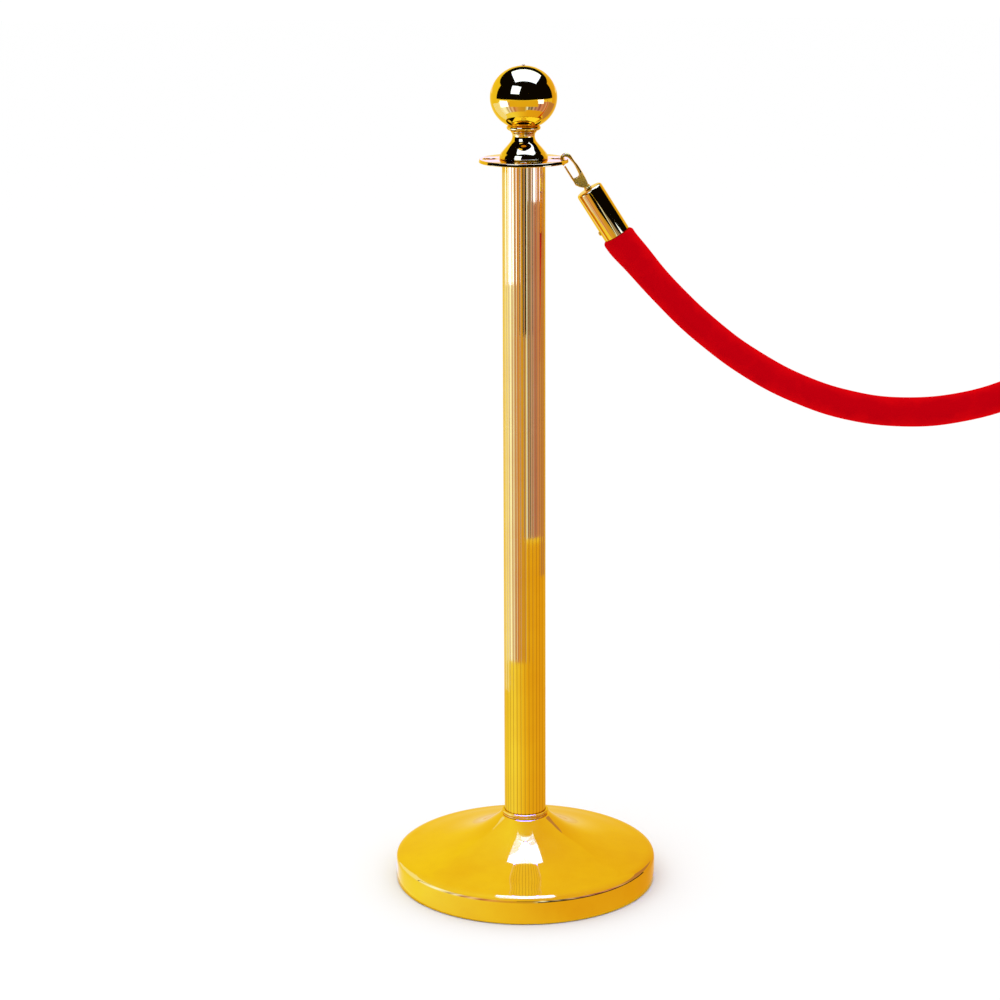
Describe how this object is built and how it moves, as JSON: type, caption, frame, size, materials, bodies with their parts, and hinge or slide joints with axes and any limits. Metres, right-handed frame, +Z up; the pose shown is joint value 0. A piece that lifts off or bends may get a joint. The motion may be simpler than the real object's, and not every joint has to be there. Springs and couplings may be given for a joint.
{
  "type": "rope stanchion",
  "caption": "Ball-topped brass rope stanchion: fluted post, domed base, ring plate, and a hanging red velvet rope with a ferrule and snap hook at each end.",
  "frame": {"origin": "on the floor, under the middle of the base, on the post's axis", "axes": "+Z up along the post; +X from the post towards the rope"},
  "size_m": [1.039, 0.32, 1.0001],
  "materials": {
    "polished_brass": "mirror-polished, lacquered",
    "zinc_steel": "zinc-plated",
    "cast_iron": "rough, painted black",
    "black_rubber": "matt moulded",
    "bound_cotton": "twisted cotton, bound with twine",
    "red_velvet": "short cut pile"
  },
  "bodies": {
    "post": {"base_cover": "polished_brass", "base_weight": "cast_iron", "floor_ring": "black_rubber", "base_bolt": "zinc_steel", "base_washer": "zinc_steel", "lower_insert": "zinc_steel", "foot_collar": "polished_brass", "post_tube": "polished_brass", "upper_insert": "zinc_steel", "head_stud": "zinc_steel", "ring_plate": "polished_brass", "head_cone": "polished_brass", "neck_bead": "polished_brass", "ball_finial": "polished_brass", "ball_boss": "polished_brass", "ball_plug": "polished_brass"},
    "hook_a": {"snap_hook_a": "polished_brass", "gate_pin_a": "zinc_steel", "gate_spring_a": "zinc_steel", "swivel_nut_a": "zinc_steel"},
    "gate_a": {"gate_a": "polished_brass"},
    "rope": {"ferrule_a": "polished_brass", "ferrule_screw_a": "polished_brass", "swivel_washer_a": "zinc_steel", "rope_end_a": "bound_cotton", "velvet_rope": "red_velvet", "rope_end_b": "bound_cotton", "swivel_washer_b": "zinc_steel", "ferrule_screw_b": "polished_brass", "ferrule_b": "polished_brass"},
    "hook_b": {"snap_hook_b": "polished_brass", "gate_pin_b": "zinc_steel", "gate_spring_b": "zinc_steel", "swivel_nut_b": "zinc_steel"},
    "gate_b": {"gate_b": "polished_brass"}
  },
  "joints": [
    {"name": "hook_a_swing", "type": "hinge", "parent": "post", "child": "hook_a", "pos_m": [0.04975, 0, 0.8891], "axis": [0, 1, 0], "range_deg": [-35, 32]},
    {"name": "rope_swivel", "type": "hinge", "parent": "hook_a", "child": "rope", "pos_m": [0.07545, 0, 0.85542], "axis": [0.5329, 0, -0.8462], "range_deg": [-90, 90]},
    {"name": "hook_b_swivel", "type": "hinge", "parent": "rope", "child": "hook_b", "pos_m": [0.84575, 0, 0.85542], "axis": [0.5329, 0, 0.8462], "continuous": true},
    {"name": "gate_a_hinge", "type": "hinge", "parent": "hook_a", "child": "gate_a", "pos_m": [0.06253, 0, 0.86205], "axis": [0, 1, 0], "range_deg": [0, 15], "stiffness_Nm_per_rad": 0.05, "springref_deg": -20.05},
    {"name": "gate_b_hinge", "type": "hinge", "parent": "hook_b", "child": "gate_b", "pos_m": [0.85867, 0, 0.86205], "axis": [0, -1, 0], "range_deg": [0, 15], "stiffness_Nm_per_rad": 0.05, "springref_deg": -20.05}
  ]
}
